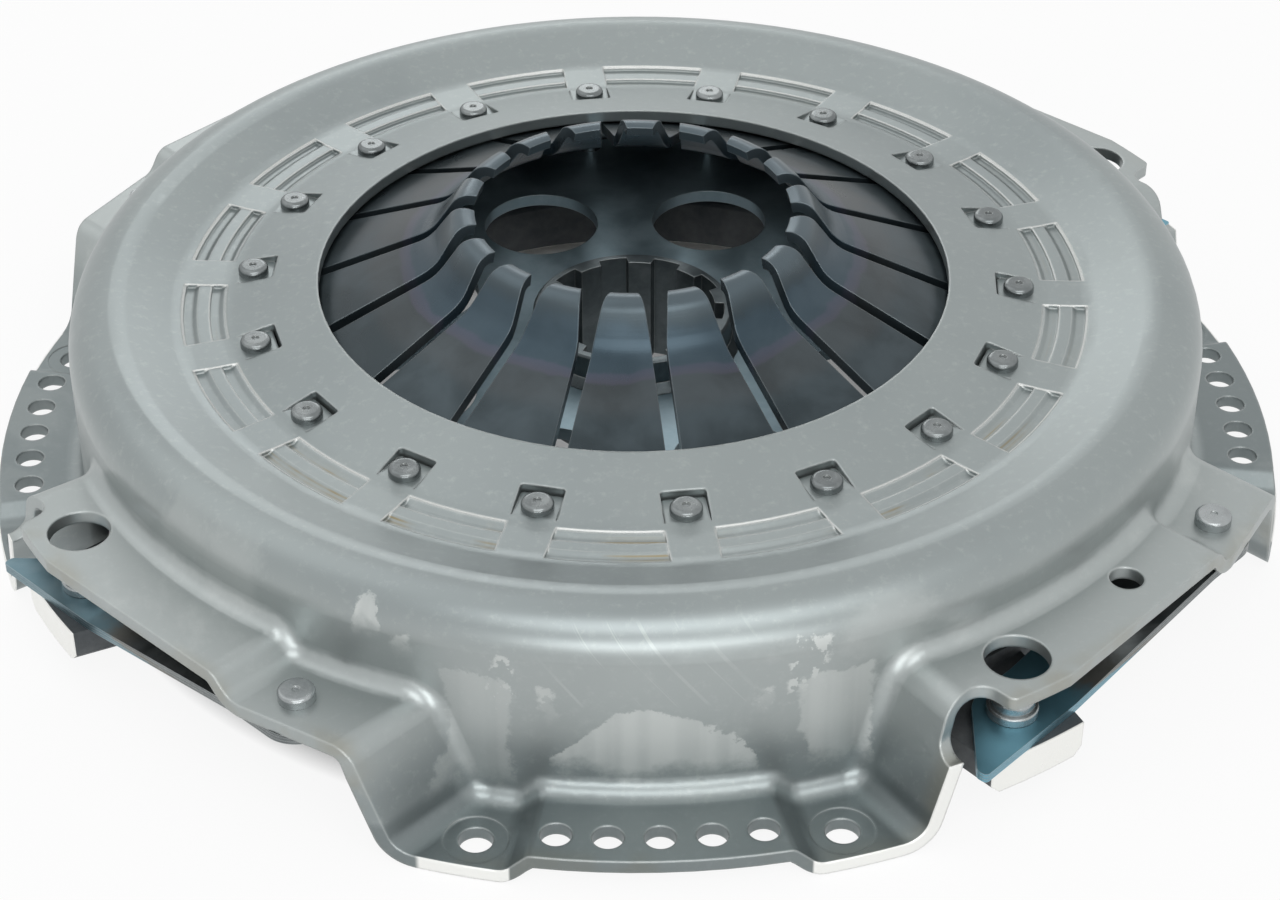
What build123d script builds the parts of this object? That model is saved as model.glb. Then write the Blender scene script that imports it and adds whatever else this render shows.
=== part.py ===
from build123d import *
from math import atan, atan2, cos, degrees, hypot, radians, sin
import os

# Push-type diaphragm clutch cover assembly with a drive hub, in millimetres and degrees.
# The origin is on the rotation axis, on the plane that the eight bolt pads sit on.
# +Z points to the release bearing. A flange is centred on each of +X, +Y, -X and -Y,
# and the angles of one quadrant are counted from its flange, anticlockwise from above.

# ---------------------------------------------------------------- driving dimensions
QUADRANTS = 4
FINGERS = 18

# pressed steel cover, inward from the outer face of its wall: flat crown, slope, fulcrum
# valley and opening ring
SHEET = 4.6
WALL_RADIUS = 199.2
CROWN_WIDTH = 18.2
SLOPE_WIDTH = 20.7
VALLEY_WIDTH = 17.0
RING_WIDTH = 32.3
CROWN_TOP = 77.1
VALLEY_TOP = 69.8
OPENING_TOP = 76.9
SHOULDER = 15.0
BELL_BENDS = (25.0, 17.0, 17.0)
COVE = 6.0

# bolt flanges: the bolt pads are lower than the stretch between them. The rim is turned,
# and everything beside it is measured inward from it.
RIM_WIDTH = 32.1
FLANGE_SET_BACK = 1.5
FLANGE_RAISE = 6.1
JOGGLE_ANGLE = 11.1
JOGGLE_HALF = 3.6
JOGGLE_BENDS = (4.0, 7.0)
JOGGLE_TOP = 10.2
JOGGLE_FOOT = 12.0
BOLT_INSET = 12.0
BOLT_HOLE = 11.0
BOLT_ANGLE = 14.9
BALANCE_HOLE = 10.0
BALANCE_PITCH = 4.165
BALANCE_COUNT = 5
SPOTFACE = 20.5
SPOTFACE_DEPTH = 0.25

# raised bridges between the flanges. The creases of the near riser run along one
# horizontal direction and those of the step and the far riser along another; each
# crease is given by its distance beside that direction.
BRIDGE_ANGLE = 42.3
BRIDGE_TOP = 49.9
STRAP_PAD_TOP = 41.8
NEAR_DIRECTION = 33.1
NEAR_FOOT = -50.6
NEAR_TOP = -38.7
NEAR_BENDS = (8.0, 9.0)
FAR_DIRECTION = 43.8
STEP_TOP = 37.7
STEP_FOOT = 44.2
FAR_TOP = 87.6
FAR_FOOT = 100.2
FAR_BENDS = (7.0, 7.0, 8.0, 8.0)
BRIDGE_EDGE_START = 33.0
BRIDGE_EDGE_STOP = 52.4
BRIDGE_SET_BACK = 3.3
STRAP_PAD_START = 56.0
STRAP_PAD_SET_BACK = 2.3
STRAP_PAD_STOP = 65.8
ACCESS_HOLE = 20.8
SMALL_HOLE = 11.0
SMALL_HOLE_INSET = 19.9
SMALL_HOLE_ANGLE = 45.5
NOTCH_DEPTH = 20.4
NOTCH_FOOT = 31.5
NOTCH_END = -59.1
NOTCH_ROUND = 6.0
BRIDGE_CORNER = 3.0

# fulcrum: lanced tabs, stepped rivets and two wire rings
RIVET_INSET = 7.7
FIRST_RIVET = -5.0
TAB_TOP = 70.4
TAB_WIDTH = 14.4
TAB_REACH = 8.0
TAB_END_GAP = 0.8
LANCE_GAP = 0.3
LANCE_CORNER = 1.2
RIVET_HEAD = 10.7
RIVET_HEAD_HEIGHT = 3.2
RIVET_HEAD_EDGE = 1.7
RIVET_MARK = 2.6
RIVET_MARK_DEPTH = 0.5
RIVET_SHANK = 8.4
RIVET_SHOULDER = 9.0
RIVET_FOOT = 13.0
RIVET_FOOT_HEIGHT = 3.6
RIVET_FOOT_EDGE = 1.2
WIRE = 6.4

# pressed fields between the tabs, with two grooves in each
FIELD_OFFSET = 0.5
FIELD_WIDTH = 15.6
FIELD_DEPTH = 0.4
GROOVE_OFFSETS = (3.7, 13.0)
GROOVE_WIDTH = 4.8
GROOVE_FLOOR = 3.0
GROOVE_DEPTH = 1.6
LAND_WIDTH = 16.0

# diaphragm spring
SPRING_THICKNESS = 4.0
SPRING_INSET = 27.2
SPRING_TOP_AT_OPENING = 71.1
SPRING_SLOPE = 0.43
TIP_RADIUS = 55.0
CREST_REACH = 6.0
FINGER_RISE = 10.5
CREST_TOP = 102.2
TIP_DROP = 1.0
CREST_ROUND = 7.0
FINGER_BEND = 16.0
SLOT = 5.2
TIP_SLOT = 9.8
FLARE_LENGTH = 15.0
SPRING_HOLE = 13.0

# drive hub plate and splined hub
HUB_PLATE_TOP = 47.4
HUB_PLATE_THICKNESS = 4.7
HUB_PLATE_EDGE = 1.0
HUB_PLATE_MARGIN = 7.5
WINDOWS = 8
WINDOW_CIRCLE = 83.5
WINDOW = 43.0
COLLAR_RADIUS = 35.5
COLLAR_TOP = 59.6
HUB_BOTTOM = 18.0
HUB_FLANGE_RADIUS = 50.0
HUB_FLANGE = 6.0
HUB_CHAMFER = 0.8
SPLINE_ROOT = 32.7
SPLINE_TIP = 29.4
SPLINE_TEETH = 10
SPLINE_PHASE = 28.8
WELD = 3.2

# pressure plate casting
FRICTION_FACE = 8.0
PLATE_INNER = 126.0
PLATE_CHAMFER = 1.2
WALL_CLEARANCE = 1.2
PLATE_BACK = 27.8
RIM_BACK = 29.8
LEVER = 22.0
RIDGE_ROUND = 4.0
RIDGE_FOOT = 8.5
RIDGE_GAPS = 12
RIDGE_GAP = 16.0
LUG_INSET = 1.3
LUG_TOP = 24.8
LUG_UNDER = 12.3
LUG_HALF_WIDTH = 17.0
LUG_FLARE = 8.0
LUG_ROOT = 14.0
LUG_CHAMFER = 3.0

# leaf straps, from the lug (A) up to the cover pad (B)
STRAP_A_INSET = 15.6
STRAP_A_ANGLE = 30.88
STRAP_B_INSET = 14.5
STRAP_B_ANGLE = 59.45
LEAVES = 3
LEAF = 1.0
LEAF_WIDTH = 25.0
STRAP_FLAT = 16.0
LEAF_BEND = 18.0
STRAP_TAIL = 29.0
TAIL_BENDS = (0, 1.5, 2.5, 4.0, 0)
TAIL_WIDTH = 0.8
STRAP_HOLE = 10.0
STRAP_SHANK = 9.6
COVER_SHANK = 8.0
STRAP_HEAD = 12.0
STRAP_HEAD_HEIGHT = 3.8
STRAP_HEAD_EDGE = 1.2
STRAP_MARK = 2.4
STRAP_MARK_DEPTH = 0.4
FOOT_FLARE = 1.0
COLLAR_WASHER = 16.4
COLLAR_WASHER_HEIGHT = 3.2
WASHER_EDGE = 0.8
LUG_HEAD = 14.0
LUG_HEAD_HEIGHT = 4.0
LUG_HEAD_EDGE = 1.4
LUG_FOOT_INSET = 1.5
COUNTERBORE = 19.0
COUNTERBORE_DEPTH = 5.0

# clearances
SEAT = 0.1
RUNNING = 0.3
SLIP = 0.2

# ---------------------------------------------------------------- worked-out sizes
QUARTER = 360 / QUADRANTS
WALL_INNER = WALL_RADIUS - SHEET
CROWN_INNER = WALL_RADIUS - CROWN_WIDTH
VALLEY_OUTER = CROWN_INNER - SLOPE_WIDTH
VALLEY_INNER = VALLEY_OUTER - VALLEY_WIDTH
OPENING_RADIUS = VALLEY_INNER - RING_WIDTH
TURNED_RADIUS = WALL_RADIUS + RIM_WIDTH
FLANGE_RADIUS = TURNED_RADIUS - FLANGE_SET_BACK
BOLT_CIRCLE = TURNED_RADIUS - BOLT_INSET
BRIDGE_EDGE_RADIUS = TURNED_RADIUS - BRIDGE_SET_BACK
STRAP_PAD_RADIUS = TURNED_RADIUS - STRAP_PAD_SET_BACK
SMALL_HOLE_RADIUS = TURNED_RADIUS - SMALL_HOLE_INSET
NOTCH_INNER = TURNED_RADIUS - NOTCH_DEPTH
LUG_RADIUS = TURNED_RADIUS - LUG_INSET
STRAP_A_RADIUS = TURNED_RADIUS - STRAP_A_INSET
STRAP_B_RADIUS = TURNED_RADIUS - STRAP_B_INSET
RIVET_CIRCLE = VALLEY_INNER - RIVET_INSET
TAB_UNDER = TAB_TOP - SHEET
TAB_INNER = RIVET_CIRCLE - TAB_REACH
SPRING_OUTER = WALL_RADIUS - SPRING_INSET
HUB_PLATE_UNDER = HUB_PLATE_TOP - HUB_PLATE_THICKNESS
SPRING_LEAN = atan(SPRING_SLOPE)
CREST_RADIUS = TIP_RADIUS + CREST_REACH
BEND_RADIUS = CREST_RADIUS + FINGER_RISE
TIP_TOP = CREST_TOP - TIP_DROP
SLOT_FLARE = TIP_RADIUS + FLARE_LENGTH
WIRE_RADIUS = WIRE / 2
PIVOT_RADIUS = RIVET_CIRCLE + RIVET_SHOULDER / 2 + WIRE_RADIUS + SLIP
RIDGE_RADIUS = PIVOT_RADIUS + LEVER
HUB_PLATE_RADIUS = PIVOT_RADIUS + HUB_PLATE_MARGIN
OPENING_SLOPE = (OPENING_TOP - VALLEY_TOP) / RING_WIDTH
TAB_ROOT = VALLEY_INNER - (TAB_TOP - VALLEY_TOP) / OPENING_SLOPE
RIDGE_HEIGHT_GAP = RIDGE_ROUND + RUNNING
LEAF_PITCH = LEAF + SEAT


def spring_top(radius):
    """Height of the flat cone of the diaphragm spring's upper face."""
    return SPRING_TOP_AT_OPENING - SPRING_SLOPE * (radius - OPENING_RADIUS)


def spring_under(radius):
    return spring_top(radius) - SPRING_THICKNESS / cos(SPRING_LEAN)


UPPER_WIRE_HEIGHT = spring_top(PIVOT_RADIUS) + (WIRE_RADIUS + SEAT) / cos(SPRING_LEAN)
LOWER_WIRE_HEIGHT = spring_under(PIVOT_RADIUS) - (WIRE_RADIUS + SEAT) / cos(SPRING_LEAN)
RIDGE_CENTRE_HEIGHT = spring_under(RIDGE_RADIUS) - RIDGE_HEIGHT_GAP / cos(SPRING_LEAN)


# ---------------------------------------------------------------- small helpers
def polar(radius, angle, height=0.0):
    """A point given by its radius and its angle in degrees."""
    return (radius * cos(radians(angle)), radius * sin(radians(angle)), height)


def around(shape, count, first=0.0):
    """Copies of a shape, evenly spaced about the axis."""
    return [Rot(0, 0, first + 360 * i / count) * shape for i in range(count)]


def rod(radius, low, high, x=0.0, y=0.0):
    """An upright cylinder between two heights."""
    shape = Cylinder(radius, high - low, align=(Align.CENTER, Align.CENTER, Align.MIN))
    return Pos(x, y, low) * shape


def ring(inner, outer, low, high):
    return rod(outer, low, high) - rod(inner, low - 1, high + 1)


def block(x0, x1, y0, y1, z0, z1):
    """A box between its lowest and highest corners."""
    shape = Box(x1 - x0, y1 - y0, z1 - z0, align=(Align.MIN, Align.MIN, Align.MIN))
    return Pos(x0, y0, z0) * shape


def strip(points, radii, thickness):
    """The section of a bent sheet whose upper line runs through the points, left to right."""
    upper = FilletPolyline(*points, radius=radii)
    return make_face(offset(upper, amount=thickness, side=Side.RIGHT))


def turned(section):
    """A section drawn as (radius, height), turned about the axis."""
    return revolve(Plane.XZ * section, Axis.Z)


def at_bridge(shape):
    """From the bridge frame (x outward, y anticlockwise) to the quadrant's frame."""
    return Rot(0, 0, BRIDGE_ANGLE) * shape


# ---------------------------------------------------------------- cover
# The sheet is what lies between an outer and an inner body. Each is the turned bell
# together with the blocks under the bridges and flanges; the inner one lies one
# sheet thickness below the outer one everywhere.
def below(points, radii, drop):
    """The section under a line of points that is moved down by a thickness."""
    line = FilletPolyline(*points, radius=radii)
    if drop > 0:
        line = offset(line, amount=drop, side=Side.RIGHT, closed=False)
    first = line @ 0
    last = line @ 1
    floor = Polyline(last, (last.X, -SHEET), (first.X, -SHEET), first)
    return make_face([line, floor])


def bell(drop):
    points = (
        (OPENING_RADIUS - 20, OPENING_TOP + 20 * OPENING_SLOPE),
        (VALLEY_INNER, VALLEY_TOP),
        (VALLEY_OUTER, VALLEY_TOP),
        (CROWN_INNER, CROWN_TOP),
        (WALL_RADIUS, CROWN_TOP),
        (WALL_RADIUS, -SHEET),
    )
    line = FilletPolyline(*points, radius=(*BELL_BENDS, SHOULDER))
    if drop > 0:
        line = offset(line, amount=drop, side=Side.RIGHT, closed=False)
    first = line @ 0
    last = line @ 1
    inside = Polyline(last, (first.X, last.Y), first)
    return turned(make_face([line, inside]))


def run(direction, points, radii, drop):
    """A block under a line of (side, height) points, running outward in a direction."""
    start = OPENING_RADIUS
    length = TURNED_RADIUS + 12 - start
    block_under = extrude(Plane.YZ.offset(start) * below(points, radii, drop), length)
    return Rot(0, 0, direction) * block_under


def bridge(drop):
    far = TURNED_RADIUS
    near_points = ((-far, SHEET), (NEAR_FOOT, SHEET), (NEAR_TOP, BRIDGE_TOP), (far, BRIDGE_TOP))
    far_points = (
        (-far, BRIDGE_TOP),
        (STEP_TOP, BRIDGE_TOP),
        (STEP_FOOT, STRAP_PAD_TOP),
        (FAR_TOP, STRAP_PAD_TOP),
        (FAR_FOOT, SHEET),
        (far, SHEET),
    )
    near_block = run(NEAR_DIRECTION, near_points, NEAR_BENDS, drop)
    far_block = run(FAR_DIRECTION, far_points, FAR_BENDS, drop)
    return near_block & far_block


def flange(drop):
    far = TURNED_RADIUS / 2
    raised = SHEET + FLANGE_RAISE
    points = ((-far, raised), (-JOGGLE_HALF, raised), (JOGGLE_HALF, SHEET), (far, SHEET))
    half = run(JOGGLE_ANGLE, points, JOGGLE_BENDS, drop)
    return half & mirror(half, Plane.XZ)


def outline():
    """Plan outline of the cover: a turned rim, set back at each flange and bridge."""
    edges = []
    for quadrant in range(QUADRANTS):
        turn = quadrant * QUARTER

        def arc(radius, start, stop):
            spots = [polar(radius, turn + a)[:2] for a in (start, (start + stop) / 2, stop)]
            edges.append(ThreePointArc(*spots))

        def line(r0, a0, r1, a1):
            edges.append(Line(polar(r0, turn + a0)[:2], polar(r1, turn + a1)[:2]))

        arc(FLANGE_RADIUS, -JOGGLE_TOP, JOGGLE_TOP)
        line(FLANGE_RADIUS, JOGGLE_TOP, TURNED_RADIUS, JOGGLE_FOOT)
        arc(TURNED_RADIUS, JOGGLE_FOOT, BRIDGE_EDGE_START)
        line(TURNED_RADIUS, BRIDGE_EDGE_START, BRIDGE_EDGE_RADIUS, BRIDGE_EDGE_STOP)
        line(BRIDGE_EDGE_RADIUS, BRIDGE_EDGE_STOP, STRAP_PAD_RADIUS, STRAP_PAD_START)
        line(STRAP_PAD_RADIUS, STRAP_PAD_START, TURNED_RADIUS, STRAP_PAD_STOP)
        arc(TURNED_RADIUS, STRAP_PAD_STOP, QUARTER - JOGGLE_FOOT)
        line(TURNED_RADIUS, QUARTER - JOGGLE_FOOT, FLANGE_RADIUS, QUARTER - JOGGLE_TOP)
    return extrude(make_face(edges), CROWN_TOP + 10)


def notch():
    """Clearance for the strap end, cut through the rising side and corner of the bridge."""
    far = TURNED_RADIUS + 10
    top = BRIDGE_TOP + 10
    start = NOTCH_END - 40
    side = block(NOTCH_INNER, far, start, NOTCH_END, NOTCH_FOOT, top)
    plan = fillet(side.edges().filter_by(Axis.Z).sort_by(Axis.X)[:2].sort_by(Axis.Y)[-1], NOTCH_ROUND)
    front = fillet(side.edges().filter_by(Axis.Y).sort_by(Axis.X)[:2].sort_by(Axis.Z)[0], NOTCH_ROUND)
    return at_bridge(plan & front)


def bridge_corners(body):
    """The upright edges left between the notches and the turned rim."""
    found = []
    for edge in body.edges().filter_by(GeomType.LINE):
        middle = edge.position_at(0.5)
        upright = abs(edge.tangent_at(0.5).Z) > 0.99
        at_rim = abs(hypot(middle.X, middle.Y) - TURNED_RADIUS) < 0.1
        angle = degrees(atan2(middle.Y, middle.X)) % QUARTER
        if upright and at_rim and middle.Z > STRAP_PAD_TOP and angle < BRIDGE_EDGE_START - 1:
            found.append(edge)
    return found


def cover_holes():
    cutters = []
    depth = CROWN_TOP + 1
    for quadrant in range(QUADRANTS):
        turn = quadrant * QUARTER
        for side in (-1, 1):
            x, y, _ = polar(BOLT_CIRCLE, turn + side * BOLT_ANGLE)
            cutters.append(rod(BOLT_HOLE / 2, -1, depth, x, y))
            cutters.append(rod(SPOTFACE / 2, SHEET - SPOTFACE_DEPTH, VALLEY_TOP - SHEET, x, y))
        for i in range(BALANCE_COUNT):
            angle = turn + (i - (BALANCE_COUNT - 1) / 2) * BALANCE_PITCH
            x, y, _ = polar(BOLT_CIRCLE, angle)
            cutters.append(rod(BALANCE_HOLE / 2, -1, depth, x, y))
        x, y, _ = polar(STRAP_A_RADIUS, turn + STRAP_A_ANGLE)
        cutters.append(rod(ACCESS_HOLE / 2, -1, depth, x, y))
        x, y, _ = polar(STRAP_B_RADIUS, turn + STRAP_B_ANGLE)
        cutters.append(rod(COVER_SHANK / 2 + SLIP, -1, depth, x, y))
        if quadrant % 2 == 1:
            x, y, _ = polar(SMALL_HOLE_RADIUS, turn + SMALL_HOLE_ANGLE)
            cutters.append(rod(SMALL_HOLE / 2, -1, depth, x, y))
    return cutters


def groove(offset_in):
    """Section of one groove: a sloping inner side and a steep outer side."""
    middle = VALLEY_INNER + offset_in
    outer = middle + GROOVE_WIDTH / 2
    low = VALLEY_TOP - GROOVE_DEPTH
    line = Polyline(
        (middle - GROOVE_WIDTH / 2, VALLEY_TOP - FIELD_DEPTH),
        (outer - GROOVE_FLOOR, low),
        (outer, low),
        (outer, VALLEY_TOP + 2),
        (middle - GROOVE_WIDTH / 2, VALLEY_TOP + 2),
        close=True,
    )
    return turned(make_face(line))


def fields():
    """Pressed fields with two grooves each, between plain lands at the tabs."""
    low = VALLEY_TOP - FIELD_DEPTH
    inner = VALLEY_INNER + FIELD_OFFSET
    body = ring(inner, inner + FIELD_WIDTH, low, VALLEY_TOP + 2)
    for offset_in in GROOVE_OFFSETS:
        body = body + groove(offset_in)
    half = LAND_WIDTH / 2
    land = block(RIVET_CIRCLE, CROWN_INNER, -half, half, TAB_UNDER, CROWN_TOP)
    return body - around(land, FINGERS, FIRST_RIVET)


def tabs(body):
    """Lanced tabs: the ring is cut on three sides and a flat tongue set below it."""
    wide = TAB_WIDTH / 2 + LANCE_GAP
    half = TAB_WIDTH / 2
    window = block(TAB_INNER, TAB_ROOT, -wide, wide, TAB_UNDER - SHEET, OPENING_TOP)
    window = fillet(window.edges().filter_by(Axis.Z).sort_by(Axis.X)[:2], LANCE_CORNER)
    tongue = block(TAB_INNER + TAB_END_GAP, TAB_ROOT, -half, half, TAB_UNDER, TAB_TOP)
    tongue = fillet(tongue.edges().filter_by(Axis.Z).sort_by(Axis.X)[:2], LANCE_CORNER)
    hole = rod(RIVET_SHANK / 2 + SLIP, TAB_UNDER - 5, OPENING_TOP, RIVET_CIRCLE, 0)
    body = body - around(window, FINGERS, FIRST_RIVET)
    body = body + around(tongue, FINGERS, FIRST_RIVET)
    return body - around(hole, FINGERS, FIRST_RIVET)


def formed(drop, wall, blend):
    """The outer (drop 0) or inner body, with the foot of the wall blended in."""
    base = rod(TURNED_RADIUS + 12, -SHEET, SHEET - drop)
    body = bell(drop) + base + around(bridge(drop), QUADRANTS) + around(flange(drop), QUADRANTS)
    return fillet(foot_edges(body, wall), blend)


def foot_edges(body, wall):
    """The edges where the wall meets the flanges and bridges."""
    found = []
    for edge in body.edges():
        spots = [edge.position_at(t) for t in (0.0, 0.5, 1.0)]
        on_wall = all(abs(hypot(p.X, p.Y) - wall) < 0.02 for p in spots)
        seam = edge.geom_type == GeomType.LINE
        if on_wall and not seam and -SHEET < spots[1].Z - 0.1 and spots[1].Z < BRIDGE_TOP + 1:
            found.append(edge)
    return found


def cover():
    shell = formed(0, WALL_RADIUS, COVE) & outline()
    shell = shell - formed(SHEET, WALL_INNER, COVE + SHEET)
    shell = shell - rod(OPENING_RADIUS, -SHEET, OPENING_TOP + 20)
    shell = shell - around(notch(), QUADRANTS)
    shell = fillet(bridge_corners(shell), BRIDGE_CORNER)
    shell = shell - cover_holes() - fields()
    return tabs(shell)


# ---------------------------------------------------------------- diaphragm and fulcrum
def diaphragm_spring():
    points = (
        (TIP_RADIUS, TIP_TOP),
        (CREST_RADIUS, CREST_TOP + 0.6),
        (BEND_RADIUS, spring_top(BEND_RADIUS)),
        (SPRING_OUTER, spring_top(SPRING_OUTER)),
    )
    disc = turned(strip(points, (CREST_ROUND, FINGER_BEND), SPRING_THICKNESS))
    half = SLOT / 2
    tip_half = TIP_SLOT / 2
    slot = make_face(
        Polyline(
            (TIP_RADIUS - 10, -tip_half - 2),
            (TIP_RADIUS, -tip_half),
            (SLOT_FLARE, -half),
            (RIVET_CIRCLE, -half),
            (RIVET_CIRCLE, half),
            (SLOT_FLARE, half),
            (TIP_RADIUS, tip_half),
            (TIP_RADIUS - 10, tip_half + 2),
            close=True,
        )
    )
    eye = Pos(RIVET_CIRCLE, 0) * Circle(SPRING_HOLE / 2)
    cutter = Pos(0, 0, HUB_PLATE_TOP - 20) * extrude(slot + eye, CREST_TOP)
    return disc - around(cutter, FINGERS, FIRST_RIVET)


def pivot_ring(height):
    return turned(Pos(PIVOT_RADIUS, height) * Circle(WIRE_RADIUS))


def fulcrum_rivet():
    """Head on the tab, shoulder between tab and hub plate, formed foot below the plate."""
    top = TAB_TOP + RIVET_HEAD_HEIGHT
    head = rod(RIVET_HEAD / 2, TAB_TOP, top)
    head = fillet(head.edges().group_by(Axis.Z)[-1], RIVET_HEAD_EDGE)
    head = head - rod(RIVET_MARK / 2, top - RIVET_MARK_DEPTH, top + 1)
    shank = rod(RIVET_SHANK / 2, HUB_PLATE_UNDER - 1, TAB_TOP + 1)
    shoulder = rod(RIVET_SHOULDER / 2, HUB_PLATE_TOP, TAB_UNDER)
    foot = rod(RIVET_FOOT / 2, HUB_PLATE_UNDER - RIVET_FOOT_HEIGHT, HUB_PLATE_UNDER)
    foot = fillet(foot.edges().group_by(Axis.Z)[0], RIVET_FOOT_EDGE)
    return Pos(RIVET_CIRCLE, 0, 0) * (head + shank + shoulder + foot)


# ---------------------------------------------------------------- drive hub
def hub_plate():
    disc = ring(COLLAR_RADIUS + SEAT, HUB_PLATE_RADIUS, HUB_PLATE_UNDER, HUB_PLATE_TOP)
    disc = fillet(disc.edges().filter_by(GeomType.CIRCLE).sort_by(SortBy.RADIUS)[-2:], HUB_PLATE_EDGE)
    window = rod(WINDOW / 2, HUB_PLATE_UNDER - 1, HUB_PLATE_TOP + 1, WINDOW_CIRCLE, 0)
    hole = rod(RIVET_SHANK / 2 + SLIP, HUB_PLATE_UNDER - 1, HUB_PLATE_TOP + 1, RIVET_CIRCLE, 0)
    seat = turned(Pos(PIVOT_RADIUS, LOWER_WIRE_HEIGHT) * Circle(WIRE_RADIUS + SEAT))
    disc = disc - around(window, WINDOWS, QUARTER / 4)
    return disc - around(hole, FINGERS, FIRST_RIVET) - seat


def splined_hub():
    """Collar above the plate, welding flange below it and a coarse internal spline."""
    body = rod(COLLAR_RADIUS, HUB_BOTTOM, COLLAR_TOP)
    body = body + rod(HUB_FLANGE_RADIUS, HUB_PLATE_UNDER - HUB_FLANGE, HUB_PLATE_UNDER)
    rims = body.edges().filter_by(GeomType.CIRCLE).group_by(Axis.Z)
    body = chamfer(rims[-1] + rims[0], HUB_CHAMFER)
    body = body - rod(SPLINE_TIP, HUB_BOTTOM - 1, COLLAR_TOP + 1)
    half = SPLINE_ROOT * sin(radians(90 / SPLINE_TEETH))
    groove = block(0, SPLINE_ROOT + 2, -half, half, HUB_BOTTOM - 1, COLLAR_TOP + 1)
    groove = groove & rod(SPLINE_ROOT, HUB_BOTTOM - 1, COLLAR_TOP + 1)
    return body - around(groove, SPLINE_TEETH, SPLINE_PHASE)


def hub_weld():
    """Fillet weld between the collar and the plate."""
    inner = COLLAR_RADIUS + SEAT
    low = HUB_PLATE_TOP + SEAT / 2
    bead = make_face(
        Polyline((inner, low), (inner + WELD, low), (inner, low + WELD), close=True)
    )
    return turned(bead)


# ---------------------------------------------------------------- pressure plate
def pressure_plate():
    rim = WALL_INNER - WALL_CLEARANCE
    crest = RIDGE_CENTRE_HEIGHT
    left = RIDGE_RADIUS - RIDGE_ROUND
    right = RIDGE_RADIUS + RIDGE_ROUND
    lines = Polyline(
        (left, crest),
        (RIDGE_RADIUS - RIDGE_FOOT, PLATE_BACK),
        (PLATE_INNER, PLATE_BACK),
        (PLATE_INNER, FRICTION_FACE),
        (rim, FRICTION_FACE),
        (rim, RIM_BACK),
        (RIDGE_RADIUS + RIDGE_FOOT, RIM_BACK),
        (right, crest),
    )
    crown = ThreePointArc((right, crest), (RIDGE_RADIUS, crest + RIDGE_ROUND), (left, crest))
    body = turned(make_face([lines, crown]))
    gap = block(0, rim, -RIDGE_GAP / 2, RIDGE_GAP / 2, RIM_BACK, crest + 10)
    body = body - around(gap, RIDGE_GAPS, QUARTER / 6)
    body = body + around(lug(), QUADRANTS)
    edges = body.edges().filter_by(GeomType.CIRCLE)
    bore_edges = [e for e in edges if abs(e.radius - PLATE_INNER) < 0.01]
    body = chamfer(bore_edges, PLATE_CHAMFER)
    hole = rod(STRAP_SHANK / 2 + SLIP, 0, LUG_TOP + 5, STRAP_A_RADIUS, 0)
    bore = rod(COUNTERBORE / 2, 0, LUG_UNDER + COUNTERBORE_DEPTH, STRAP_A_RADIUS, 0)
    return body - around(hole + bore, QUADRANTS, STRAP_A_ANGLE)


def lug():
    """Driving lug with a turned outer face, under the end of each strap."""
    root = WALL_INNER - LUG_ROOT
    wide = LUG_HALF_WIDTH + LUG_FLARE
    shape = Polyline(
        (root, -wide),
        (LUG_RADIUS + 5, -LUG_HALF_WIDTH),
        (LUG_RADIUS + 5, LUG_HALF_WIDTH),
        (root, wide),
        close=True,
    )
    body = Pos(0, 0, LUG_UNDER) * extrude(make_face(shape), LUG_TOP - LUG_UNDER)
    body = body & rod(LUG_RADIUS, 0, LUG_TOP + 1)
    lower = body.edges().filter_by(GeomType.LINE).group_by(Axis.Z)[0].sort_by(Axis.Y)
    body = chamfer([lower[-1], lower[0]], LUG_CHAMFER)
    return Rot(0, 0, STRAP_A_ANGLE) * body


# ---------------------------------------------------------------- straps and their rivets
def strap_length():
    ax, ay, _ = polar(STRAP_A_RADIUS, STRAP_A_ANGLE)
    bx, by, _ = polar(STRAP_B_RADIUS, STRAP_B_ANGLE)
    return hypot(bx - ax, by - ay)


def strap_leaf(index):
    """One leaf of the pack of the first quadrant, counted from the lowest."""
    length = strap_length()
    end = LEAF_WIDTH / 2
    low = LUG_TOP + SEAT + index * LEAF_PITCH + LEAF
    pack = LEAVES * LEAF_PITCH
    high = STRAP_PAD_TOP - SHEET - pack + index * LEAF_PITCH + LEAF
    points = (
        (-STRAP_TAIL - 1, low),
        (STRAP_FLAT, low),
        (length - STRAP_FLAT, high),
        (length + end, high),
    )
    body = extrude(Plane.XZ.offset(-end) * strip(points, (LEAF_BEND, LEAF_BEND), LEAF), LEAF_WIDTH)
    plan = Pos(length / 2, 0) * SlotOverall(length + LEAF_WIDTH, LEAF_WIDTH)
    tail = FilletPolyline(
        (0, -end),
        (-STRAP_TAIL, -end),
        (-STRAP_TAIL, -end * 0.7),
        (-end * 0.6, end * TAIL_WIDTH),
        (0, end * TAIL_WIDTH),
        radius=TAIL_BENDS,
        close=True,
    )
    body = body & extrude(plan + make_face(tail), CROWN_TOP)
    body = body - rod(STRAP_HOLE / 2, 0, CROWN_TOP)
    body = body - rod(COVER_SHANK / 2 + SLIP, 0, CROWN_TOP, length, 0)
    ax, ay, _ = polar(STRAP_A_RADIUS, STRAP_A_ANGLE)
    bx, by, _ = polar(STRAP_B_RADIUS, STRAP_B_ANGLE)
    frame = Plane(origin=(ax, ay, 0), x_dir=(bx - ax, by - ay, 0), z_dir=(0, 0, 1))
    return frame.location * body


def domed(radius, low, high, edge):
    """A rivet head with its upper edge rounded."""
    body = rod(radius, low, high)
    return fillet(body.edges().group_by(Axis.Z)[-1], edge)


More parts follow.
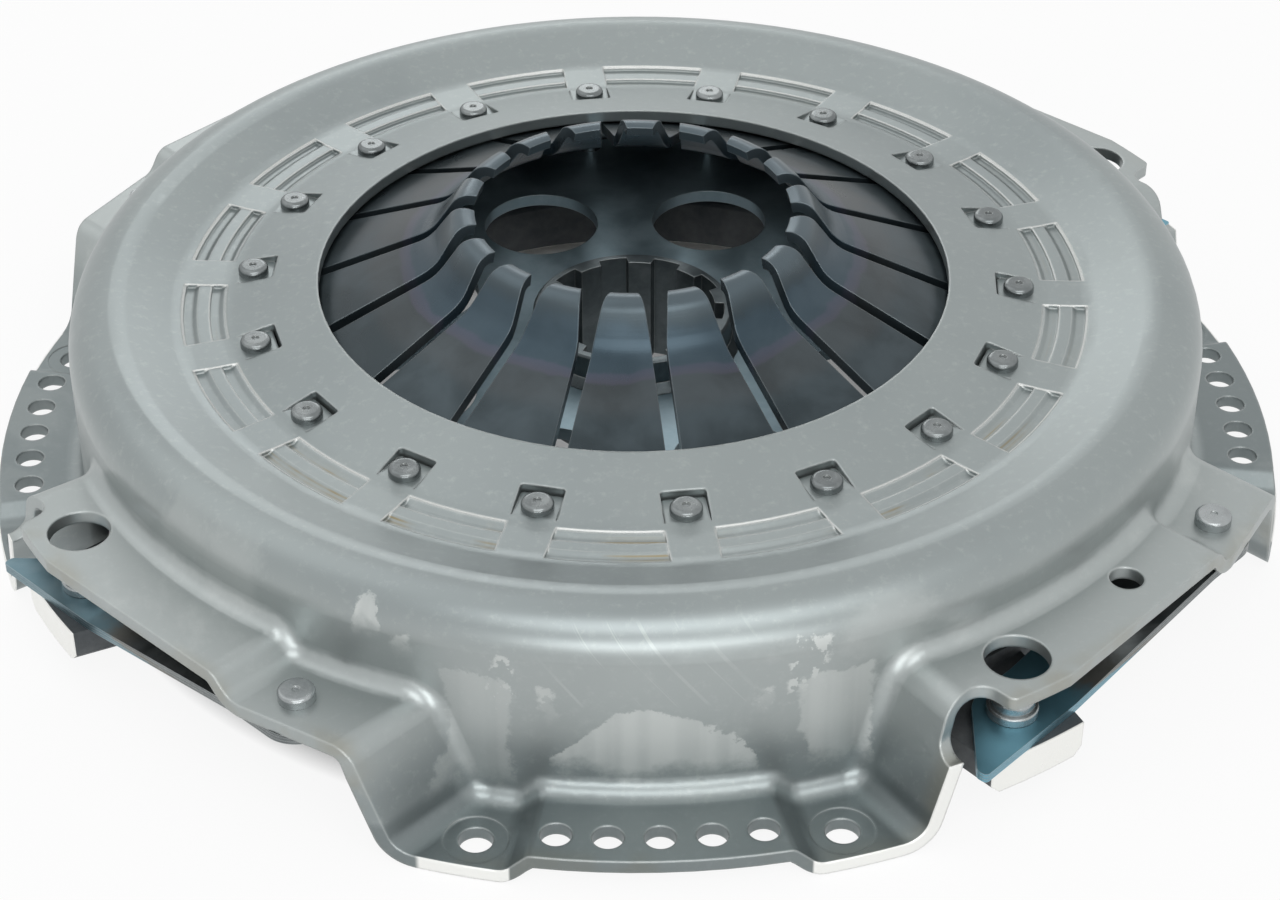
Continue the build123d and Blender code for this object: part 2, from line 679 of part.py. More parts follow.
def cover_strap_rivet():
    pack_under = STRAP_PAD_TOP - SHEET - LEAVES * LEAF_PITCH
    head = domed(STRAP_HEAD / 2, STRAP_PAD_TOP, STRAP_PAD_TOP + STRAP_HEAD_HEIGHT, STRAP_HEAD_EDGE)
    mark_low = STRAP_PAD_TOP + STRAP_HEAD_HEIGHT - STRAP_MARK_DEPTH
    head = head - rod(STRAP_MARK / 2, mark_low, CROWN_TOP)
    shank = rod(COVER_SHANK / 2, pack_under - 1, STRAP_PAD_TOP + 1)
    foot = rod(STRAP_HEAD / 2 + FOOT_FLARE, pack_under - STRAP_HEAD_HEIGHT, pack_under - SEAT)
    return head + shank + foot


def lug_pack_top():
    return LUG_TOP + SEAT + LEAVES * LEAF_PITCH


def lug_washer():
    """Stepped washer between the leaves and the rivet head."""
    top = lug_pack_top() + COLLAR_WASHER_HEIGHT
    body = domed(COLLAR_WASHER / 2, lug_pack_top(), top, WASHER_EDGE)
    return body - rod(STRAP_SHANK / 2 + SLIP, LUG_TOP, top + 1)


def lug_strap_rivet():
    low = lug_pack_top() + COLLAR_WASHER_HEIGHT
    head = domed(LUG_HEAD / 2, low, low + LUG_HEAD_HEIGHT, LUG_HEAD_EDGE)
    shank = rod(STRAP_SHANK / 2, LUG_UNDER + LUG_FOOT_INSET, low + 1)
    top = LUG_UNDER + COUNTERBORE_DEPTH
    foot = rod(COUNTERBORE / 2 - 2, LUG_UNDER + LUG_FOOT_INSET, top)
    return head + shank + foot


def save(name, shapes):
    """Write one node, made of one solid or of a group of separate solids."""
    body = Compound(children=shapes) if isinstance(shapes, list) else shapes
    export_step(body, os.path.join("parts", name + ".step"))


def main():
    os.makedirs("parts", exist_ok=True)
    save("cover", cover())
    save("diaphragm_spring", diaphragm_spring())
    save("upper_pivot_ring", pivot_ring(UPPER_WIRE_HEIGHT))
    save("lower_pivot_ring", pivot_ring(LOWER_WIRE_HEIGHT))
    save("fulcrum_rivets", around(fulcrum_rivet(), FINGERS, FIRST_RIVET))
    save("hub_plate", hub_plate())
    save("splined_hub", splined_hub())
    save("hub_weld", hub_weld())
    save("pressure_plate", pressure_plate())
    for quadrant in range(QUADRANTS):
        for index in range(LEAVES):
            leaf = Rot(0, 0, quadrant * QUARTER) * strap_leaf(index)
            save(f"strap_{quadrant + 1}_leaf_{index + 1}", leaf)
    cover_spot = Pos(*polar(STRAP_B_RADIUS, STRAP_B_ANGLE))
    lug_spot = Pos(*polar(STRAP_A_RADIUS, STRAP_A_ANGLE))
    save("cover_strap_rivets", around(cover_spot * cover_strap_rivet(), QUADRANTS))
    save("lug_strap_washers", around(lug_spot * lug_washer(), QUADRANTS))
    save("lug_strap_rivets", around(lug_spot * lug_strap_rivet(), QUADRANTS))


main()
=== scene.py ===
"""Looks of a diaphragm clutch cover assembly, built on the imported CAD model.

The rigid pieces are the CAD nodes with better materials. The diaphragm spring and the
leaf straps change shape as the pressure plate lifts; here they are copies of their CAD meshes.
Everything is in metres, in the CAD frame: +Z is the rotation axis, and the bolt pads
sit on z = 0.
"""

from math import cos, pi, radians, sin

import bmesh
import bpy
from mathutils import Matrix, Vector

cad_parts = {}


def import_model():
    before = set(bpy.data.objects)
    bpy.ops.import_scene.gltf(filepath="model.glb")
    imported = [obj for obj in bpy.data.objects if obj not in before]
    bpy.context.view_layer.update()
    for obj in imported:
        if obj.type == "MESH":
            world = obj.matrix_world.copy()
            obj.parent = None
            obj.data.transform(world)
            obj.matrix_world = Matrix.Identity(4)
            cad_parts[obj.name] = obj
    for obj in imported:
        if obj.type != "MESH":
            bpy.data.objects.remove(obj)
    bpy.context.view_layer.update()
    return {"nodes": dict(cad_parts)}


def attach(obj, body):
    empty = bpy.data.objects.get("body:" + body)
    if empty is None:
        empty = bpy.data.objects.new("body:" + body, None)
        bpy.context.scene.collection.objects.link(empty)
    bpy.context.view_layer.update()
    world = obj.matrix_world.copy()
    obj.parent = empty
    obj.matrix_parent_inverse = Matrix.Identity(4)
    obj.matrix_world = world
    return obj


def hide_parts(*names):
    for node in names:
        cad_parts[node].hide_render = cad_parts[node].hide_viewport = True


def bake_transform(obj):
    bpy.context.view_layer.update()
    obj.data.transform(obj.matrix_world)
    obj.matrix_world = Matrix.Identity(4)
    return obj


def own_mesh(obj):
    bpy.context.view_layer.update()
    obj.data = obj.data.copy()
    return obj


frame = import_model()

# ---------------------------------------------------------------- sizes, in metres
MM = 0.001
IMAGE_WIDTH = 1280
CAMERA_LENS = 80.12
CAMERA_SHIFT = (80, -30)
QUADRANTS = 4
RIM_RADIUS = 231.3 * MM
LUG_RADIUS = 230.0 * MM
WALL_RADIUS = 199.2 * MM
GROOVE_INNER = 143.8 * MM
GROOVE_OUTER = 159.4 * MM
FIELD_TOP = 68.6 * MM
TURNED_DEPTH = 0.5 * MM

# floor: how far its middle stays in shadow, and how white it is outside that and in the bore
SHADOW_RADIUS = 200 * MM
BORE_RADIUS = 126 * MM
FLOOR_GLOW = 0.90
BORE_GLOW = 0.20
FLOOR_HALF = 4.0
FLOOR_DROP = 0.5 * MM

# leaf straps: radius and angle of the lug end and the cover end in the first quadrant
LEAVES = 3
LUG_END = (215.7 * MM, radians(30.88))
COVER_END = (216.8 * MM, radians(59.45))
STRAP_FLAT = 16.0 * MM
STRAP_CUTS = 24


# ---------------------------------------------------------------- lights and plain steels
WORLD_LIGHT = 0.55
# name, place, target, width, height, power in watts
LIGHTS = (
    ("key", (-0.9, 0.4, 1.6), (0, 0, 0), 1.6, 1.6, 3.5),
    ("back", (-0.1, 1.6, 0.85), (0, 0, 0.03), 0.7, 0.35, 1.9),
    ("front", (0.15, -1.3, 1.65), (0, 0, 0.05), 1.8, 0.9, 12.5),
    ("low_front", (0.1, -1.7, 0.30), (0, 0, 0.03), 1.3, 0.4, 7),
)
# name: dark and pale tone, lowest and highest roughness, and the CAD nodes that have it
PLAIN_STEELS = {
    "plate_steel": (
        ((0.250, 0.345, 0.390), (0.330, 0.430, 0.480)),
        (0.36, 0.48),
        ("hub_plate",),
    ),
    "hub_steel": (
        ((0.110, 0.135, 0.145), (0.180, 0.210, 0.220)),
        (0.3, 0.42),
        ("splined_hub", "hub_weld"),
    ),
    "rivet_steel": (
        ((0.160, 0.175, 0.178), (0.250, 0.270, 0.272)),
        (0.2, 0.3),
        ("fulcrum_rivets",),
    ),
    "wire_steel": (
        ((0.150, 0.160, 0.160), (0.300, 0.310, 0.300)),
        (0.3, 0.4),
        ("upper_pivot_ring", "lower_pivot_ring"),
    ),
    "strap_rivet_steel": (
        ((0.290, 0.310, 0.315), (0.400, 0.425, 0.430)),
        (0.2, 0.3),
        ("cover_strap_rivets", "lug_strap_washers", "lug_strap_rivets"),
    ),
}


# ---------------------------------------------------------------- shader nodes
class Paint:
    """A material, with short names for the nodes that its colours are made of."""

    def __init__(self, name):
        self.material = bpy.data.materials.new(name)
        self.material.use_nodes = True
        self.tree = self.material.node_tree
        self.shader = self.tree.nodes["Principled BSDF"]
        self.place = self.tree.nodes.new("ShaderNodeTexCoord").outputs["Object"]
        parts = self.tree.nodes.new("ShaderNodeSeparateXYZ")
        self.tree.links.new(self.place, parts.inputs[0])
        self.x, self.y, self.z = parts.outputs
        self.radius = self.math("SQRT", self.plus(self.square(self.x), self.square(self.y)))
        self.angle = self.math("ARCTAN2", self.y, self.x)

    def put(self, socket, value):
        """Links a node's output to a socket, or writes a number or colour on it."""
        if isinstance(value, bpy.types.NodeSocket):
            self.tree.links.new(value, socket)
        elif isinstance(value, tuple) and len(value) == 3 and socket.type == "RGBA":
            socket.default_value = (*value, 1.0)
        else:
            socket.default_value = value

    def math(self, operation, first, second=0.0):
        node = self.tree.nodes.new("ShaderNodeMath")
        node.operation = operation
        self.put(node.inputs[0], first)
        self.put(node.inputs[1], second)
        return node.outputs[0]

    def square(self, value):
        return self.math("MULTIPLY", value, value)

    def times(self, first, second):
        return self.math("MULTIPLY", first, second)

    def plus(self, first, second):
        return self.math("ADD", first, second)

    def minus(self, first, second):
        return self.math("SUBTRACT", first, second)

    def most(self, first, second):
        return self.math("MAXIMUM", first, second)

    def band(self, value, low, high, soft):
        """1 between two limits, falling to 0 over a soft edge outside them."""
        rise = self.ramp(value, low - soft, low)
        fall = self.ramp(value, high + soft, high)
        return self.times(rise, fall)

    def ramp(self, value, start, stop, low=0.0, high=1.0):
        """Maps start..stop to low..high and holds the ends."""
        node = self.tree.nodes.new("ShaderNodeMapRange")
        node.interpolation_type = "SMOOTHSTEP"
        self.put(node.inputs["Value"], value)
        node.inputs["From Min"].default_value = start
        node.inputs["From Max"].default_value = stop
        node.inputs["To Min"].default_value = low
        node.inputs["To Max"].default_value = high
        return node.outputs["Result"]

    def noise(self, scale, detail=3.0, rough=0.5, warp=0.0, stretch=(1.0,) * 3, turn=(0.0,) * 3):
        mapping = self.tree.nodes.new("ShaderNodeMapping")
        mapping.inputs["Scale"].default_value = stretch
        mapping.inputs["Rotation"].default_value = turn
        self.tree.links.new(self.place, mapping.inputs["Vector"])
        node = self.tree.nodes.new("ShaderNodeTexNoise")
        node.inputs["Scale"].default_value = scale
        node.inputs["Detail"].default_value = detail
        node.inputs["Roughness"].default_value = rough
        node.inputs["Distortion"].default_value = warp
        self.tree.links.new(mapping.outputs[0], node.inputs["Vector"])
        return node.outputs[0]

    def lines(self, across, scale):
        """Noise that changes along one coordinate only."""
        node = self.tree.nodes.new("ShaderNodeTexNoise")
        node.noise_dimensions = "1D"
        node.inputs["Scale"].default_value = scale
        node.inputs["Detail"].default_value = 2.0
        self.tree.links.new(across, node.inputs["W"])
        return node.outputs[0]

    def rings(self, scale):
        """Fine rings round the axis, as a lathe leaves them."""
        return self.lines(self.radius, scale)

    def mix(self, share, first, second):
        node = self.tree.nodes.new("ShaderNodeMix")
        node.data_type = "RGBA"
        self.put(node.inputs[0], share)
        self.put(node.inputs[6], first)
        self.put(node.inputs[7], second)
        return node.outputs[2]

    def rounded(self, radius):
        """A normal that turns smoothly across the sharp edges of a solid."""
        node = self.tree.nodes.new("ShaderNodeBevel")
        node.samples = 6
        node.inputs["Radius"].default_value = radius
        return node.outputs[0]

    def edges(self, radius):
        """1 on the edges of a solid and 0 away from them."""
        geometry = self.tree.nodes.new("ShaderNodeNewGeometry")
        dot = self.tree.nodes.new("ShaderNodeVectorMath")
        dot.operation = "DOT_PRODUCT"
        self.tree.links.new(self.rounded(radius), dot.inputs[0])
        self.tree.links.new(geometry.outputs["Normal"], dot.inputs[1])
        return self.ramp(dot.outputs["Value"], 0.995, 0.80)

    def bump(self, height, distance, strength=1.0, normal=None):
        node = self.tree.nodes.new("ShaderNodeBump")
        node.inputs["Strength"].default_value = strength
        node.inputs["Distance"].default_value = distance
        self.put(node.inputs["Height"], height)
        if normal is not None:
            self.tree.links.new(normal, node.inputs["Normal"])
        return node.outputs[0]

    def finish(self, colour, roughness, metallic, normal=None):
        self.put(self.shader.inputs["Base Color"], colour)
        self.put(self.shader.inputs["Roughness"], roughness)
        self.put(self.shader.inputs["Metallic"], metallic)
        if normal is not None:
            self.tree.links.new(normal, self.shader.inputs["Normal"])
        return self.material


# ---------------------------------------------------------------- materials
STEEL = (0.298, 0.331, 0.331)
STEEL_DARK = (0.260, 0.292, 0.295)
STEEL_PALE = (0.520, 0.550, 0.540)
STAIN = (0.640, 0.665, 0.650)
BARE = (0.860, 0.865, 0.840)
RUST = (0.250, 0.190, 0.080)
# painted shade: the tone that the flange tops are darkened towards
FLANGE_SHADE = (0.120, 0.145, 0.150)

# dried spots on the front of the wall: angles in degrees, heights in mm, how far the
# top drops towards the two ends in mm, how broken up they are, and their strength
STAINS = (
    (-108.6, -103.0, 18, 52, 0, 0.0, 0.42),
    (-98.5, -81.5, 22, 42, 20, 0.0, 0.80),
    (-76.6, -71.0, 21, 50, 0, 0.0, 0.62),
    (-117.6, -115.0, 65, 70, 4, 0.0, 0.80),
    (-113.4, -112.6, 61, 63, 0, 0.0, 0.70),
    (-104.4, -102.6, 42, 60, 0, 1.0, 0.70),
    (-78.2, -75.2, 48, 66, 0, 1.0, 0.85),
    (-99.6, -99.0, 42, 50, 0, 0.6, 0.60),
    (-81.4, -80.8, 46, 52, 0, 0.6, 0.60),
)
# the scratched area above them: angles in degrees and heights in mm
SCRATCHED = (-99.0, -83.0, 47, 73)
# the angles of each quarter where the rim was not turned, because a strap notch lies there
UNTURNED = (30, 71)


def stains(p):
    """How strongly each spot of the wall is stained."""
    wobble = p.minus(p.noise(45.0, 7.0, 0.7), 0.5)
    other = p.minus(p.noise(60.0, 7.0, 0.7, turn=(1.0, 2.0, 0.0)), 0.5)
    angle = p.plus(p.angle, p.times(wobble, radians(6.0)))
    height = p.plus(p.z, p.times(other, 22 * MM))
    crumbs = p.ramp(p.noise(170.0, 4.0, 0.6), 0.52, 0.56)
    streaks = p.ramp(p.lines(p.angle, 24.0), 0.36, 0.62, 0.78, 1.0)
    total = p.times(p.ramp(p.noise(11.0, 7.0, 0.62, 0.3), 0.56, 0.64), 0.25)
    for first, last, low, high, drop, broken, strength in STAINS:
        wide = p.band(angle, radians(first), radians(last), radians(0.6))
        from_middle = p.minus(angle, radians((first + last) / 2))
        bow = drop * MM / radians((last - first) / 2) ** 2
        top = p.plus(height, p.times(p.square(from_middle), bow))
        below = p.ramp(top, (high + 1.5) * MM, high * MM)
        above = p.ramp(height, (low - 7) * MM, (low + 2) * MM)
        share = p.times(p.times(wide, p.times(below, above)), strength)
        texture = p.ramp(crumbs, 0.0, 1.0, 1.0 - broken, 1.0) if broken else streaks
        total = p.most(total, p.times(share, texture))
    return total


def rubbed_lines(p):
    """Slanting scratches that a die left above the stains."""
    first, last, low, high = SCRATCHED
    slant = p.plus(p.times(p.angle, WALL_RADIUS * 0.80), p.times(p.z, 0.60))
    lines = p.times(p.ramp(p.lines(slant, 420.0), 0.60, 0.66), p.ramp(p.noise(40.0), 0.40, 0.55))
    lines = p.times(lines, p.band(p.angle, radians(first), radians(last), radians(2)))
    return p.times(lines, p.band(p.z, low * MM, high * MM, 3 * MM))


def rusted(p, in_grooves):
    """Thin rust lines in the pressed grooves and a little along the rim."""
    cloud = p.ramp(p.noise(24.0, 3.0, 0.6), 0.46, 0.60)
    cloud = p.times(cloud, p.ramp(p.y, -60 * MM, -120 * MM, 0.12, 1.0))
    sunk = p.ramp(p.z, FIELD_TOP + 0.7 * MM, FIELD_TOP)
    sunk = p.times(in_grooves, p.times(sunk, p.ramp(p.z, 60 * MM, 66 * MM)))
    sunk = p.times(sunk, p.ramp(p.rings(700.0), 0.50, 0.62, 0.15, 1.0))
    at_rim = p.ramp(p.radius, RIM_RADIUS - 9 * MM, RIM_RADIUS - 1 * MM)
    return p.times(cloud, p.most(p.times(sunk, 0.80), p.times(at_rim, 0.25)))


def turned_rim(p):
    """1 on the bright rim of the bolt flanges."""
    quarter = p.math("FLOORED_MODULO", p.angle, pi / 2)
    first, last = UNTURNED
    blank = p.band(quarter, radians(first), radians(last), radians(0.5))
    turned = p.ramp(p.radius, RIM_RADIUS - TURNED_DEPTH, RIM_RADIUS - 0.3 * MM)
    turned = p.times(turned, p.minus(1.0, blank))
    return p.times(turned, p.ramp(p.z, 40 * MM, 36 * MM))


def cover_steel():
    """Pressed sheet with a satin grey coat, drawing marks, stains and bare turned rims, with
    painted shade on the flanges and painted highlights on the middle of the wall and on the
    edges.
    """
    p = Paint("cover_steel")
    clouds = p.noise(9.0, 3.0, 0.5, 0.4)
    grain = p.noise(1100.0, 2.0, 0.6)
    specks = p.noise(300.0, 4.0, 0.7)
    tone = p.mix(p.ramp(clouds, 0.3, 0.7), STEEL_DARK, STEEL)
    tone = p.mix(p.ramp(specks, 0.5, 0.8, 0.0, 0.22), tone, STEEL_PALE)
    on_wall = p.ramp(p.radius, WALL_RADIUS - 10 * MM, WALL_RADIUS - 1 * MM)
    # painted highlight: the wall is painted paler at mid height, fading out towards the flange
    # and the shoulder
    mid_wall_highlight = p.times(p.ramp(p.z, 20 * MM, 36 * MM), p.ramp(p.z, 74 * MM, 60 * MM))
    tone = p.mix(p.times(p.times(on_wall, mid_wall_highlight), 0.36), tone, STEEL_PALE)
    stain = p.times(stains(p), on_wall)
    tone = p.mix(p.times(stain, 0.8), tone, STAIN)
    rubbed = p.times(rubbed_lines(p), on_wall)
    tone = p.mix(p.times(rubbed, 0.30), tone, STEEL_PALE)
    in_grooves = p.band(p.radius, GROOVE_INNER, GROOVE_OUTER, 0.6 * MM)
    tone = p.mix(rusted(p, in_grooves), tone, RUST)
    # painted shade on the flange tops below the wall
    on_flange = p.times(p.ramp(p.z, 16 * MM, 12 * MM), p.ramp(p.radius, 203 * MM, 207 * MM))
    tone = p.mix(p.times(on_flange, 0.55), tone, FLANGE_SHADE)
    # painted highlight: the edges of the sheet are painted paler
    edge = p.edges(1.4 * MM)
    tone = p.mix(p.times(edge, 0.5), tone, STEEL_PALE)
    # painted highlight: the edges of the groove ridges are painted nearly white
    above_field = p.ramp(p.z, FIELD_TOP, FIELD_TOP + 0.4 * MM)
    ridge_highlight = p.times(edge, p.times(in_grooves, above_field))
    tone = p.mix(p.times(ridge_highlight, 0.7), tone, BARE)
    tone = p.mix(turned_rim(p), tone, BARE)
    drawn = p.noise(46.0, 4.0, 0.7, 0.1, (1.0, 1.0, 0.05))
    scratches = p.noise(75.0, 3.0, 0.8, 0.2, (1.0, 0.04, 1.0), (0.0, 0.0, 0.5))
    scratches = p.ramp(scratches, 0.64, 0.70)
    roughness = p.ramp(clouds, 0.3, 0.7, 0.35, 0.41)
    roughness = p.plus(roughness, p.times(stain, 0.15))
    roughness = p.plus(roughness, p.times(scratches, -0.06))
    relief = p.plus(p.times(grain, 0.30), p.times(p.rings(2600.0), 0.20))
    relief = p.plus(relief, p.times(p.times(drawn, on_wall), 0.8))
    relief = p.plus(relief, p.times(scratches, -0.4))
    normal = p.bump(relief, 0.05 * MM, 0.6, p.rounded(1.2 * MM))
    return p.finish(tone, roughness, 0.80, normal)


def spring_steel():
    """Blue-grey spring steel with faint temper colours round the bend of the fingers, and
    painted highlights on the finger tips and edges.
    """
    p = Paint("spring_steel")
    clouds = p.noise(38.0, 4.0, 0.55, 0.3)
    tone = p.mix(p.ramp(clouds, 0.35, 0.7), (0.030, 0.042, 0.048), (0.054, 0.072, 0.082))
    wander = p.plus(p.radius, p.times(p.minus(clouds, 0.5), 10 * MM))
    straw = p.band(wander, 82 * MM, 90 * MM, 7 * MM)
    tone = p.mix(p.times(straw, 0.15), tone, (0.100, 0.088, 0.080))
    blue = p.band(wander, 69 * MM, 78 * MM, 5 * MM)
    tone = p.mix(p.times(blue, 0.40), tone, (0.040, 0.076, 0.108))
    purple = p.band(wander, 78.5 * MM, 81 * MM, 1.5 * MM)
    tone = p.mix(p.times(purple, 0.30), tone, (0.095, 0.080, 0.125))
    # painted highlight: the finger tips are painted paler
    tone = p.mix(p.ramp(wander, 67 * MM, 61 * MM), tone, (0.085, 0.112, 0.128))
    # painted highlight: the edges of the fingers are painted paler
    edge = p.edges(0.7 * MM)
    tone = p.mix(p.times(edge, 0.35), tone, (0.300, 0.340, 0.355))
    roughness = p.ramp(clouds, 0.3, 0.7, 0.26, 0.36)
    relief = p.plus(p.noise(1200.0, 2.0), p.times(p.rings(1800.0), 0.8))
    normal = p.bump(relief, 0.03 * MM, 0.5, p.rounded(0.7 * MM))
    return p.finish(tone, roughness, 0.70, normal)


def turned_steel(name, dark, pale, rough_low, rough_high):
    """Plain or machined steel between two tones, for plates, hubs, rivets and wire, with painted
    highlights on the edges.
    """
    p = Paint(name)
    clouds = p.noise(70.0, 5.0, 0.65, 0.3)
    tone = p.mix(p.ramp(clouds, 0.35, 0.68), dark, pale)
    # painted highlight: the edges are painted paler
    edge = p.edges(0.8 * MM)
    tone = p.mix(p.times(edge, 0.4), tone, (0.45, 0.47, 0.46))
    roughness = p.ramp(clouds, 0.3, 0.7, rough_low, rough_high)
    relief = p.plus(p.noise(1500.0, 2.0), p.rings(3000.0))
    normal = p.bump(relief, 0.03 * MM, 0.5, p.rounded(0.5 * MM))
    return p.finish(tone, roughness, 0.85, normal)


def plate_iron():
    """Dark sand-cast iron with bright turned faces."""
    p = Paint("plate_iron")
    sand = p.noise(420.0, 4.0, 0.7)
    clouds = p.noise(30.0, 4.0, 0.6, 0.4)
    tone = p.mix(p.ramp(clouds, 0.35, 0.7), (0.070, 0.078, 0.084), (0.140, 0.148, 0.152))
    turned = p.ramp(p.radius, LUG_RADIUS - TURNED_DEPTH, LUG_RADIUS - 0.3 * MM)
    faced = p.ramp(p.z, 8.6 * MM, 8.3 * MM)
    bright = p.most(turned, faced)
    tone = p.mix(bright, tone, (0.88, 0.88, 0.85))
    roughness = p.minus(p.ramp(sand, 0.2, 0.8, 0.55, 0.8), p.times(bright, 0.3))
    relief = p.mix(bright, sand, p.times(p.noise(1500.0, 2.0), 0.1))
    normal = p.bump(relief, 0.35 * MM, 0.8, p.rounded(0.8 * MM))
    return p.finish(tone, roughness, p.ramp(bright, 0.0, 1.0, 0.35, 0.85), normal)


def strap_steel():
    """Spring strip with straw and blue temper colours towards the lug end, and painted
    highlights on the edges.
    """
    p = Paint("strap_steel")
    clouds = p.noise(50.0, 4.0, 0.6, 0.5)
    tone = p.mix(p.ramp(clouds, 0.38, 0.66), (0.120, 0.135, 0.140), (0.220, 0.235, 0.235))
    low = p.plus(p.z, p.times(p.minus(clouds, 0.5), 5 * MM))
    straw = p.band(low, 29.4 * MM, 30.6 * MM, 1.0 * MM)
    tone = p.mix(p.times(straw, 0.3), tone, (0.190, 0.150, 0.100))
    blue = p.times(p.ramp(low, 30.0 * MM, 28.6 * MM), p.ramp(p.x, -0.1, 0.1, 0.45, 1.0))
    tone = p.mix(blue, tone, (0.150, 0.330, 0.415))
    # painted highlight: the edges of the leaves are painted paler
    edge = p.edges(0.5 * MM)
    tone = p.mix(p.times(edge, 0.7), tone, (0.50, 0.53, 0.53))
    roughness = p.ramp(clouds, 0.3, 0.7, 0.28, 0.42)
    normal = p.bump(p.noise(1400.0, 2.0), 0.03 * MM, 0.4)
    return p.finish(tone, roughness, 0.85, normal)


# ---------------------------------------------------------------- stage
def math_node(tree, operation, first, second):
    """A math node with two linked inputs."""
    node = tree.nodes.new("ShaderNodeMath")
    node.operation = operation
    tree.links.new(first, node.inputs[0])
    tree.links.new(second, node.inputs[1])
    return node.outputs[0]


def range_node(tree, value, start, stop, low, high):
    """Maps start..stop to low..high in a straight line and holds the ends."""
    node = tree.nodes.new("ShaderNodeMapRange")
    node.inputs["From Min"].default_value = start
    node.inputs["From Max"].default_value = stop
    node.inputs["To Min"].default_value = low
    node.inputs["To Max"].default_value = high
    tree.links.new(value, node.inputs["Value"])
    return node.outputs["Result"]


def camera():
    """The camera of the studio view: a long lens, about 35 degrees above the horizon."""
    data = bpy.data.cameras.new("camera")
    data.lens = CAMERA_LENS
    data.sensor_width = 36.0
    data.sensor_fit = "HORIZONTAL"
    data.shift_x, data.shift_y = (pixels / IMAGE_WIDTH for pixels in CAMERA_SHIFT)
    data.clip_start = 0.05
    data.clip_end = 20.0
    obj = bpy.data.objects.new("camera", data)
    obj.matrix_world = Matrix(
        (
            (0.9997081, 0.0237880, -0.0042199, -0.0311400),
            (-0.0172769, 0.5818321, -0.8131254, -0.8491262),
            (-0.0168873, 0.8129610, 0.5820733, 0.6184609),
            (0.0, 0.0, 0.0, 1.0),
        )
    )
    bpy.context.scene.collection.objects.link(obj)
    bpy.context.scene.camera = obj


def soft_light(name, place, target, width, height, power):
    """A rectangular soft box that faces its target."""
    data = bpy.data.lights.new(name, "AREA")
    data.shape = "RECTANGLE"
    data.size = width
    data.size_y = height
    data.energy = power
    obj = bpy.data.objects.new(name, data)
    obj.location = place
    direction = Vector(target) - Vector(place)
    obj.rotation_euler = direction.to_track_quat("-Z", "Y").to_euler()
    bpy.context.scene.collection.objects.link(obj)


def seen_directly(tree):
    """1 for camera, glossy and transmission rays, so that they all see the same white."""
    path = tree.nodes.new("ShaderNodeLightPath")
    total = path.outputs["Is Camera Ray"]
    for name in ("Is Glossy Ray", "Is Transmission Ray"):
        total = math_node(tree, "MAXIMUM", total, path.outputs[name])
    return total


def world(diffuse_strength):
    """White to the rays that see it directly, and weaker as a light on matte surfaces."""
    scene_world = bpy.data.worlds.new("studio")
    scene_world.use_nodes = True
    tree = scene_world.node_tree
    background = tree.nodes["Background"]
    background.inputs["Color"].default_value = (1.0, 1.0, 1.0, 1.0)
    strength = range_node(tree, seen_directly(tree), 0.0, 1.0, diffuse_strength, 1.0)
    tree.links.new(strength, background.inputs["Strength"])
    bpy.context.scene.world = scene_world


def floor():
    """A pale floor that is nearly white to the camera and keeps a faint shadow."""
    mesh = bpy.data.meshes.new("floor")
    half = FLOOR_HALF
    corners = [(-half, -half, 0), (half, -half, 0), (half, half, 0), (-half, half, 0)]
    mesh.from_pydata(corners, [], [(0, 1, 2, 3)])
    obj = bpy.data.objects.new("floor", mesh)
    obj.location.z = -FLOOR_DROP
    bpy.context.scene.collection.objects.link(obj)
    material = bpy.data.materials.new("floor")
    material.use_nodes = True
    tree = material.node_tree
    matte = tree.nodes["Principled BSDF"]
    matte.inputs["Base Color"].default_value = (0.9, 0.9, 0.9, 1.0)
    matte.inputs["Roughness"].default_value = 0.9
    place = tree.nodes.new("ShaderNodeTexCoord")
    length = tree.nodes.new("ShaderNodeVectorMath")
    length.operation = "LENGTH"
    tree.links.new(place.outputs["Object"], length.inputs[0])
    radius = length.outputs["Value"]
    fade = (SHADOW_RADIUS - 10 * MM, SHADOW_RADIUS + 5 * MM)
    around = range_node(tree, radius, *fade, 0.0, FLOOR_GLOW)
    middle = range_node(tree, radius, BORE_RADIUS, BORE_RADIUS - 10 * MM, 0.0, BORE_GLOW)
    glow_share = math_node(tree, "ADD", around, middle)
    glow_share = math_node(tree, "MULTIPLY", seen_directly(tree), glow_share)
    glow = tree.nodes.new("ShaderNodeEmission")
    mixer = tree.nodes.new("ShaderNodeMixShader")
    tree.links.new(glow_share, mixer.inputs[0])
    tree.links.new(matte.outputs[0], mixer.inputs[1])
    tree.links.new(glow.outputs[0], mixer.inputs[2])
    tree.links.new(mixer.outputs[0], tree.nodes["Material Output"].inputs[0])
    mesh.materials.append(material)


# ---------------------------------------------------------------- pieces
def on_plan(end, turn=0.0):
    """The plan position of a strap end, turned to another quadrant."""
    radius, angle = end
    return Vector((radius * cos(angle + turn), radius * sin(angle + turn), 0))


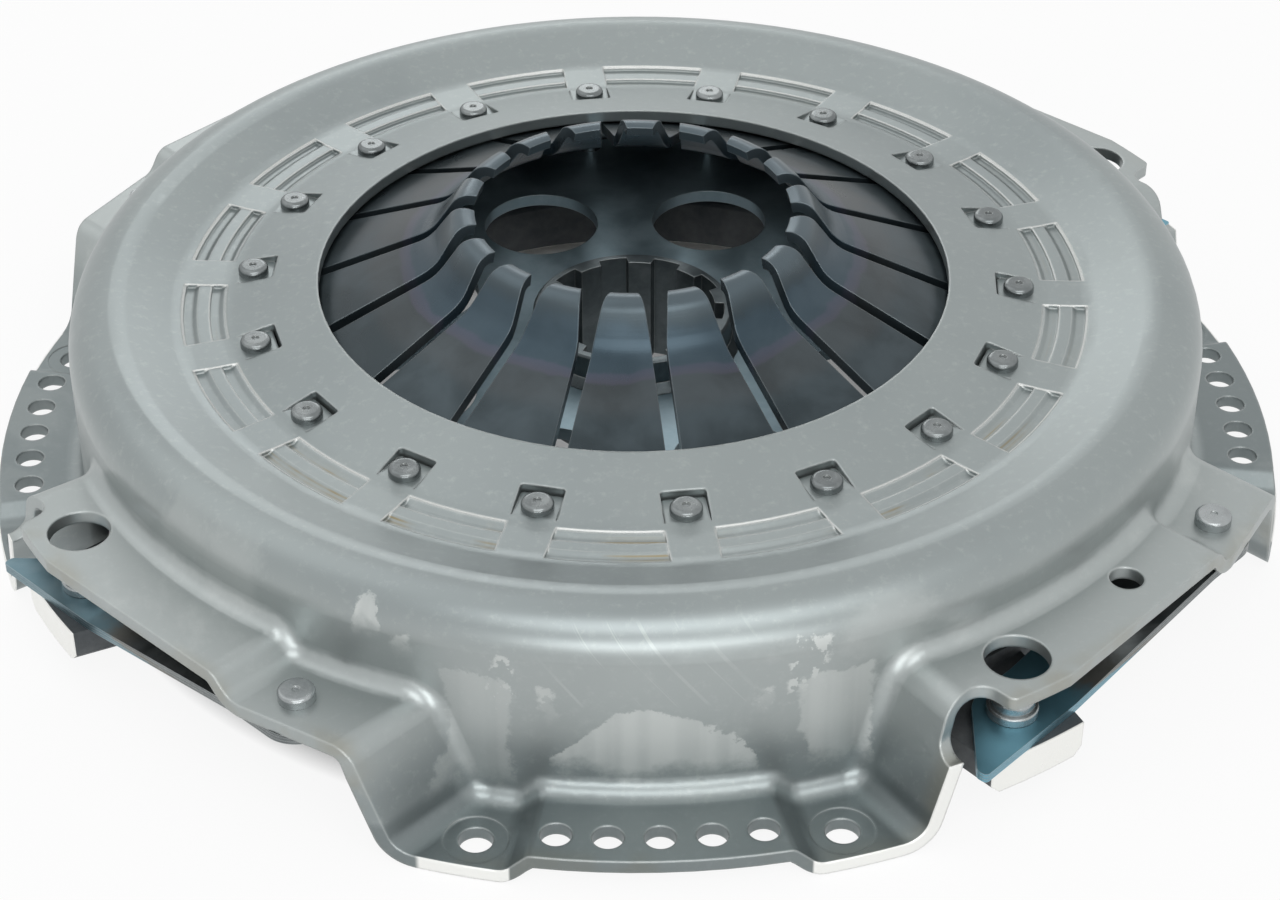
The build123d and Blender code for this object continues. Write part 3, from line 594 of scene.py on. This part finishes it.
def piece(name, mesh, material, body=None):
    """A new object with one material, which rides a body if one is named."""
    obj = bpy.data.objects.new(name, mesh)
    bpy.context.scene.collection.objects.link(obj)
    mesh.materials.clear()
    mesh.materials.append(material)
    if body:
        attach(obj, body)
    return obj


def paint(node, material):
    """Gives a CAD node a better material in all its slots."""
    obj = frame["nodes"][node]
    for slot in obj.material_slots:
        slot.material = material
    if not obj.material_slots:
        obj.data.materials.append(material)


def spring(material):
    """The diaphragm spring, as its own copy of the CAD mesh, riding the cover body."""
    mesh = frame["nodes"]["diaphragm_spring"].data.copy()
    obj = piece("fingers", mesh, material, "cover_body")
    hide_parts("diaphragm_spring")
    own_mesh(obj)


def strap_leaf(quadrant, index, material):
    """One leaf, copied from its CAD mesh with cross lines cut along it from lug to cover."""
    node = f"strap_{quadrant + 1}_leaf_{index + 1}"
    turn = quadrant * pi / 2
    mesh = frame["nodes"][node].data.copy()
    start = on_plan(LUG_END, turn)
    end = on_plan(COVER_END, turn)
    along = (end - start).normalized()
    span = (end - start).length
    shape = bmesh.new()
    shape.from_mesh(mesh)
    margin = STRAP_FLAT * 0.6
    for i in range(STRAP_CUTS + 1):
        spot = start + along * (margin + (span - 2 * margin) * i / STRAP_CUTS)
        geometry = shape.verts[:] + shape.edges[:] + shape.faces[:]
        bmesh.ops.bisect_plane(shape, geom=geometry, plane_co=spot, plane_no=along)
    shape.to_mesh(mesh)
    shape.free()
    obj = piece(f"leaf_{quadrant + 1}_{index + 1}", mesh, material)
    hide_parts(node)
    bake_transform(obj)


def main():
    camera()
    world(WORLD_LIGHT)
    floor()
    for light in LIGHTS:
        soft_light(*light)
    paint("cover", cover_steel())
    for name, (tones, smoothness, nodes) in PLAIN_STEELS.items():
        material = turned_steel(name, *tones, *smoothness)
        for node in nodes:
            paint(node, material)
    paint("pressure_plate", plate_iron())
    spring(spring_steel())
    strip = strap_steel()
    for quadrant in range(QUADRANTS):
        for index in range(LEAVES):
            strap_leaf(quadrant, index, strip)
    bpy.context.scene.view_settings.view_transform = "Standard"


main()
